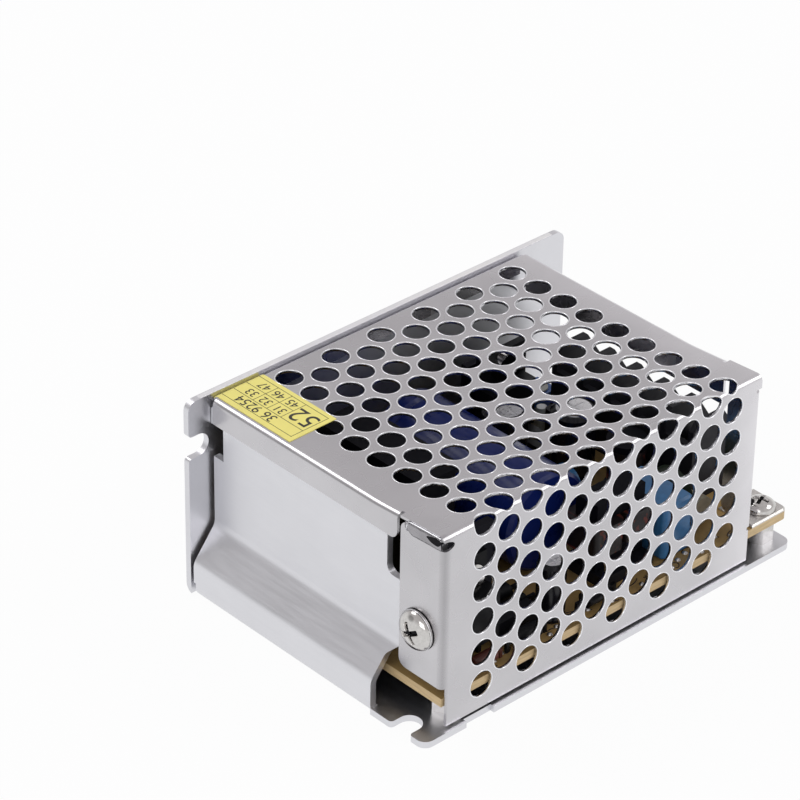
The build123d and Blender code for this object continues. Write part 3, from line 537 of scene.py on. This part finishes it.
def laid_ribbon(form, points, aim, across, width):
    """A ribbon laid on the chassis where lines from the points meet it."""
    section = ((-1, RIBBON_SINK), (-1, RIBBON_LIFT), (1, RIBBON_LIFT), (1, RIBBON_SINK))
    rows = []
    for start in points:
        hit, place, normal, _ = CHASSIS.ray_cast(start * MM, aim)
        if hit and normal.dot(aim) < -0.5:
            middle = place / MM
            corners = [middle + across * (side * width / 2) + normal * rise for side, rise in section]
            rows.append([form.verts.new(Vector((q.x, q.y, min(q.z, BOX_TOP))) * MM) for q in corners])
        else:
            rows.append(None)
    for here, following in zip(rows, rows[1:]):
        if here and following:
            for k in range(4):
                form.faces.new((here[k], following[k], following[(k + 1) % 4], here[(k + 1) % 4]))
    for before, here, following in zip([None, *rows], rows, [*rows[1:], None]):
        if here and not (before and following):
            form.faces.new(here)


form = bmesh.new()
starts = [Vector(PLATE_START) + X * (i * PLATE_STEP) for i in range(PLATE_POINTS)]
laid_ribbon(form, starts, -Z, Y, PLATE_EDGE_WIDTH)
piece("back_edge_highlight", form, EDGE_HIGHLIGHT_METAL)

# Screws: domed heads with a pressed cross, and their threads
CROSS_END_SLOPE = 0.22
CROSS_SIDE_SLOPE = 0.16
THREAD_PITCH = 0.5
THREAD_ROOT = 0.84  # share of the shank's radius
DOME_STEPS = 22
CROWN_FACET = 0.12
CROWN_START = 0.3  # height above a head's seat from which its facets are fine
Cross = namedtuple("Cross", "length width depth above")


def turned(form, seat, outline, around, cross=None):
    """Turns an outline of (radius, height) points about the seat's Z, with a cross pressed in."""
    loops = []
    for radius, height in outline:
        loop = []
        for k in range(around):
            a = 2 * math.pi * k / around
            u, v, sunk = radius * math.cos(a), radius * math.sin(a), 0.0
            if cross and height > cross.above:
                for along, across in ((abs(u), abs(v)), (abs(v), abs(u))):
                    ends = min(1.0, max(0.0, (cross.length / 2 - along) / CROSS_END_SLOPE))
                    sides = min(1.0, max(0.0, (cross.width / 2 - across) / CROSS_SIDE_SLOPE))
                    sunk = max(sunk, cross.depth * ends * sides)
            loop.append(form.verts.new((seat @ Vector((u, v, height - sunk))) * MM))
        loops.append(loop)
    for here, following in zip(loops, loops[1:]):
        for k in range(around):
            form.faces.new((here[k], here[(k + 1) % around], following[(k + 1) % around], following[k]))
    form.faces.new(loops[0])
    form.faces.new(loops[-1])


def domed(radius, rim, height, shank, length):
    """Outline of a domed screw from the shank's tip to the crown."""
    root = shank * THREAD_ROOT
    outline = [(shank * 0.55, -length), (shank * 0.85, -length + 0.3)]
    level = -length + 0.5
    while level < -0.5:
        outline += [(root, level), (shank, level + THREAD_PITCH * 0.35), (shank, level + THREAD_PITCH * 0.5)]
        level += THREAD_PITCH
    outline += [(root, -0.1), (shank, 0.0), (radius * 0.97, 0.0), (radius, 0.06), (radius, rim)]
    for k in range(1, DOME_STEPS):
        a = math.pi / 2 * k / DOME_STEPS
        outline.append((radius * math.cos(a) * 0.995, rim + (height - rim) * math.sin(a)))
    outline.append((0.02, height))
    return refined(outline, CROWN_FACET)


def refined(values, step):
    """Adds points to an outline's crown, so that the cross is pressed into fine facets."""
    out = [values[0]]
    for before, after in zip(values, values[1:]):
        count = max(1, math.ceil(abs(before[0] - after[0]) / step)) if after[1] > CROWN_START else 1
        out += [tuple(b + (a - b) * k / count for b, a in zip(before, after)) for k in range(1, count + 1)]
    return out


CROSS_ARM = (1.35, 0.24)  # half length and half width of the painted shade at the foot of a cross


def cross_foot(form, seat, low, high):
    """Painted shade at the bottom of a pressed cross, as two dark crossing bars."""
    long, narrow = CROSS_ARM
    for half_u, half_v in ((long, narrow), (narrow, long)):
        corners = [
            form.verts.new((seat @ Vector((half_u * u, half_v * v, z))) * MM)
            for z in (low, high) for u, v in ((-1, -1), (1, -1), (1, 1), (-1, 1))
        ]
        form.faces.new(corners[:4])
        form.faces.new(corners[4:])
        for k in range(4):
            form.faces.new((corners[k], corners[(k + 1) % 4], corners[(k + 1) % 4 + 4], corners[k + 4]))


# The cover's screw, with rings round the foot of its head: a painted shadow where it meets the sheet, a
# painted highlight on the rim and a painted shade groove above it
COVER_SCREW = Matrix.Translation((-38.4, -22.7, 18.3)) @ Matrix.Rotation(-math.pi / 2, 4, "Y")
COVER_CROSS = COVER_SCREW @ Matrix.Rotation(0.5, 4, "Z")
RING_POINTS = 64
form = bmesh.new()
outline = domed(radius=3.55, rim=0.45, height=2.24, shank=1.55, length=4.95)
turned(form, COVER_CROSS, outline, 144, Cross(length=3.9, width=0.95, depth=0.85, above=0.9))
screw = piece("cover_screw_domed", form, MATERIALS["screw_steel"], smooth=True)
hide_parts("cover_screw")
form = bmesh.new()
cross_foot(form, COVER_CROSS, 1.30, 1.62)
piece("cover_screw_recess_shade", form, SHADE_BLACK)
for name, radius, lift, thickness, metal in (
    ("cover_screw_foot_shadow", 3.50, 0.08, 0.09, SHADE_BLACK),
    ("cover_screw_rim_highlight", 3.46, 0.50, 0.11, HIGHLIGHT_METAL),
    ("cover_screw_groove_shade", 3.44, 0.68, 0.07, SHADE_BLACK),
):
    form = bmesh.new()
    path = [
        COVER_SCREW @ Vector((radius * math.cos(a), radius * math.sin(a), lift))
        for a in (2 * math.pi * k / RING_POINTS for k in range(RING_POINTS))
    ]
    tube(form, path, thickness, closed=True)
    piece(name, form, metal, smooth=True)

# The board's screws: where each is seated and how far its cross is turned
BOARD_SCREWS = (
    ((39.0, -24.4, 7.3), 0.35),
    ((-33.2, -23.4, 6.8), 0.9),
    ((-33.6, 22.6, 6.8), 0.1),
    ((10.8, 23.4, 6.8), 0.6),
)
seats = [Matrix.Translation(place) @ Matrix.Rotation(turn, 4, "Z") for place, turn in BOARD_SCREWS]
form = bmesh.new()
feet = bmesh.new()
outline = domed(radius=2.68, rim=0.3, height=1.88, shank=1.45, length=4.9)
for seat in seats:
    turned(form, seat, outline, 96, Cross(length=2.9, width=0.75, depth=0.7, above=0.8))
    # Painted shade in each screw's cross
    cross_foot(feet, seat, 1.10, 1.36)
piece("board_screw_recess_shade", feet, SHADE_BLACK)
screws = piece("board_screws_domed", form, MATERIALS["screw_steel"], smooth=True)
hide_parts("board_screws")

# Bare metal tops of the standing capacitors, inside the rolled end of the sleeve
CAN_TOPS = (("output_capacitor_rear", 3.1), ("output_capacitor_front", 3.1), ("controller_capacitor", 1.8))
CAN_METAL = plated("can_metal", (0.78, 0.78, 0.80), 0.25, 0.35, 0.000001)
CAN_SINK = 0.25
CAN_DISC = 0.31
CAN_FACET = 0.2
form = bmesh.new()
for name, radius in CAN_TOPS:
    points = [v.co / MM for v in nodes[name].data.vertices]
    low, high = (Vector(pick(p[k] for p in points) for k in range(3)) for pick in (min, max))
    seat = Matrix.Translation(((low.x + high.x) / 2, (low.y + high.y) / 2, high.z - CAN_SINK))
    outline = refined([(radius, 0.0), (radius, CAN_DISC), (0.02, CAN_DISC)], CAN_FACET)
    turned(form, seat, outline, 48, Cross(length=radius * 1.5, width=0.5, depth=0.05, above=0.3))
piece("capacitor_tops", form, CAN_METAL)

# Marks of the board seen through the lower vents: solder-ringed holes and printed lines
BOARD_TOP = 6.8
BOARD_INK = moulded("board_ink", (0.035, 0.022, 0.015), 0.5, 0.6)
SOLDER_STEP = 2.35
SOLDER_POINTS = tuple((-31.5 + SOLDER_STEP * i, -25.6 + 0.9 * math.sin(i * 2.1)) for i in range(29))
SOLDER_CONE = ((0.55, -0.05), (0.5, 0.12), (0.28, 0.3), (0.1, 0.42))
MARK_POINTS = 10
MARK_FRONT = -27.2
MARK_RADIUS = 0.10
form = bmesh.new()
for x, y in SOLDER_POINTS:
    turned(form, Matrix.Translation((x, y, BOARD_TOP)), SOLDER_CONE, 14)
piece("board_solder_points", form, MATERIALS["solder"], smooth=True)


def printed_curl(x, y, turn, reach):
    """A curl of a printed line beside a solder point, kept behind the cover's front."""
    path = []
    for k in range(MARK_POINTS + 1):
        a = 0.3 + turn + 4.2 * k / MARK_POINTS
        along = x + 0.9 + reach * math.cos(a) * (1 + 0.3 * math.cos(2 * a))
        path.append(Vector((along, max(y + 0.2 + 0.8 * math.sin(a), MARK_FRONT), BOARD_TOP)))
    return path


form = bmesh.new()
for i, (x, y) in enumerate(SOLDER_POINTS[::2]):
    tube(form, printed_curl(x, y, i, 1.1 + 0.5 * math.sin(i * 1.7)), MARK_RADIUS, sides=6)
piece("board_printed_marks", form, BOARD_INK)

# Print of the label: ruled lines and plain numbers
LABEL_TOP = 37.12
INK = 0.012
INK_SINK = 0.02
DIGIT_SINK = 0.015
LABEL_ENDS = (9.1, 27.0)
LABEL_SIDES = (-37.0, -27.2)
LABEL_INSET = 0.9
TITLE_HEIGHT = 2.5
BIG_CELL = 5.4
CELL = 3.4
RULE = 0.10
BOX_FACES = ((0, 1, 3, 2), (4, 6, 7, 5), (0, 4, 5, 1), (2, 3, 7, 6), (0, 2, 6, 4), (1, 5, 7, 3))


def bar(form, low, high):
    """A flat box between two corners, in millimetres."""
    corners = [Vector((low[k] if bit >> k & 1 else high[k] for k in range(3))) * MM for bit in range(8)]
    verts = [form.verts.new(corner) for corner in corners]
    for face in BOX_FACES:
        form.faces.new([verts[k] for k in face])


def rule(form, x0, y0, x1, y1):
    """A printed line between two points, each with its lower coordinates first."""
    half = RULE / 2
    bar(form, (x0 - half, y0 - half, LABEL_TOP - INK_SINK), (x1 + half, y1 + half, LABEL_TOP + INK))


def number(form, text, x, y, size):
    """Digits that read toward the back, centred on a point of the label."""
    curve = bpy.data.curves.new("digits", "FONT")
    curve.body = text
    curve.size = size * MM
    curve.extrude = DIGIT_SINK * MM
    curve.align_x = "CENTER"
    curve.align_y = "CENTER"
    letters = bpy.data.objects.new("digits", curve)
    mesh = bpy.data.meshes.new_from_object(letters)
    mesh.transform(Matrix.Translation(Vector((x, y, LABEL_TOP)) * MM) @ Matrix.Rotation(math.pi / 2, 4, "Z"))
    form.from_mesh(mesh)
    bpy.data.objects.remove(letters)
    bpy.data.curves.remove(curve)
    bpy.data.meshes.remove(mesh)


form = bmesh.new()
x_low, x_high = LABEL_SIDES[0] + LABEL_INSET, LABEL_SIDES[1] - LABEL_INSET
y_low, y_high = LABEL_ENDS[0] + LABEL_INSET, LABEL_ENDS[1] - 0.2
title = x_low + TITLE_HEIGHT
middle = (title + x_high) / 2
first_cell = y_low + BIG_CELL
for y in (y_low, first_cell, first_cell + CELL, first_cell + 2 * CELL):
    rule(form, x_low if y == y_low else title, y, x_high, y)
for x in (x_low, title, x_high):
    rule(form, x, y_low, x, y_high)
rule(form, middle, first_cell, middle, y_high)
number(form, "52", middle, (y_low + first_cell) / 2, 5.2)
for k, (near, far) in enumerate((("31", "45"), ("32", "46"), ("33", "47"))):
    y = first_cell + CELL * (k + 0.5)
    number(form, near, (title + middle) / 2, y, 2.4)
    number(form, far, (middle + x_high) / 2, y, 2.4)
number(form, "36 9254", (x_low + title) / 2, (y_low + y_high) / 2 + 1.5, 2.8)
piece("label_print", form, PRINT_BLACK)


def seen_directly(tree):
    """One for camera, mirror and see-through rays, which meet a white background."""
    path = tree.nodes.new("ShaderNodeLightPath")
    total = path.outputs["Is Camera Ray"]
    for name in ("Is Glossy Ray", "Is Transmission Ray"):
        larger = tree.nodes.new("ShaderNodeMath")
        larger.operation = "MAXIMUM"
        tree.links.new(total, larger.inputs[0])
        tree.links.new(path.outputs[name], larger.inputs[1])
        total = larger.outputs[0]
    return total


# Floor: white where it is seen directly, apart from a share that takes the object's shadow
FLOOR_WHITE_SHARE = 0.95
FLOOR_SIZE = 4.0
floor_material = Nodes("floor")
shader = floor_material.add("ShaderNodeBsdfDiffuse", Color=(0.86, 0.86, 0.87, 1.0))
white = floor_material.add("ShaderNodeEmission", Color=(1.0, 1.0, 1.0, 1.0), Strength=1.0)
seen = floor_material.add("ShaderNodeMath", operation="MULTIPLY")
seen.inputs[1].default_value = FLOOR_WHITE_SHARE
mix = floor_material.add("ShaderNodeMixShader")
floor_material.link(seen_directly(floor_material.tree), seen.inputs[0])
floor_material.link(seen.outputs[0], mix.inputs["Fac"])
floor_material.link(shader.outputs["BSDF"], mix.inputs[1])
floor_material.link(white.outputs["Emission"], mix.inputs[2])
floor_material.link(mix.outputs["Shader"], floor_material.output.inputs["Surface"])
mesh = bpy.data.meshes.new("floor")
form = bmesh.new()
bmesh.ops.create_grid(form, x_segments=1, y_segments=1, size=FLOOR_SIZE)
form.to_mesh(mesh)
form.free()
mesh.materials.append(floor_material.material)
floor = bpy.data.objects.new("floor", mesh)
floor.location = (0, 0, -0.0001)
bpy.context.scene.collection.objects.link(floor)

# World: soft grey light for the object. Where it is seen directly it is white low down, and
# greyer above, which only metal shows
CARD_DIRECTION = (-0.74, 0.62, 0.26)
world = bpy.data.worlds.new("studio")
bpy.context.scene.world = world
world.use_nodes = True
tree = world.node_tree
tree.nodes.clear()
out = tree.nodes.new("ShaderNodeOutputWorld")
background = tree.nodes.new("ShaderNodeBackground")
plain = tree.nodes.new("ShaderNodeBackground")
shade = tree.nodes.new("ShaderNodeValToRGB")
shade.color_ramp.elements[0].position = 0.1
shade.color_ramp.elements[0].color = (1, 1, 1, 1)
shade.color_ramp.elements[1].position = 0.4
shade.color_ramp.elements[1].color = (0.67, 0.65, 0.655, 1)
choice = tree.nodes.new("ShaderNodeMixShader")
place = tree.nodes.new("ShaderNodeTexCoord")
split = tree.nodes.new("ShaderNodeSeparateXYZ")
ramp = tree.nodes.new("ShaderNodeValToRGB")
ramp.color_ramp.elements[0].position = 0.0
ramp.color_ramp.elements[0].color = (0.62, 0.62, 0.64, 1)
ramp.color_ramp.elements[1].position = 0.85
ramp.color_ramp.elements[1].color = (0.50, 0.50, 0.52, 1)
tree.links.new(place.outputs["Generated"], split.inputs["Vector"])
tree.links.new(split.outputs["Z"], ramp.inputs["Fac"])
tree.links.new(ramp.outputs["Color"], background.inputs["Color"])
tree.links.new(split.outputs["Z"], shade.inputs["Fac"])
# A grey card stands at the back left, low down, for metal to show
toward = tree.nodes.new("ShaderNodeVectorMath")
toward.operation = "DOT_PRODUCT"
toward.inputs[1].default_value = Vector(CARD_DIRECTION).normalized()
card = tree.nodes.new("ShaderNodeMapRange")
for key, limit in (("From Min", 0.95), ("From Max", 0.99), ("To Min", 1.0), ("To Max", 0.5)):
    card.inputs[key].default_value = limit
darker = tree.nodes.new("ShaderNodeMix")
darker.data_type = "RGBA"
darker.blend_type = "MULTIPLY"
darker.inputs[0].default_value = 1.0
tree.links.new(place.outputs["Generated"], toward.inputs[0])
tree.links.new(toward.outputs["Value"], card.inputs["Value"])
tree.links.new(shade.outputs["Color"], darker.inputs[6])
tree.links.new(card.outputs["Result"], darker.inputs[7])
tree.links.new(darker.outputs[2], plain.inputs["Color"])
tree.links.new(seen_directly(tree), choice.inputs["Fac"])
tree.links.new(background.outputs["Background"], choice.inputs[1])
tree.links.new(plain.outputs["Background"], choice.inputs[2])
tree.links.new(choice.outputs["Shader"], out.inputs["Surface"])


# Lamps: three soft windows
LIT_MIDDLE = Vector((0, 0, 0.02))


def lamp(name, place, size, power):
    """A window that is turned to the object's middle."""
    data = bpy.data.lights.new(name, "AREA")
    data.shape = "RECTANGLE"
    data.size, data.size_y = size
    data.energy = power
    light = bpy.data.objects.new(name, data)
    light.location = place
    light.rotation_euler = (LIT_MIDDLE - Vector(place)).to_track_quat("-Z", "Y").to_euler()
    bpy.context.scene.collection.objects.link(light)


lamp("left_window", (-0.80, -0.40, 0.50), (0.6, 0.5), 1.6)
lamp("front_window", (0.55, -0.50, 0.68), (0.5, 0.4), 1.7)
lamp("back_window", (-0.18, 0.62, 0.77), (0.5, 0.4), 1.7)
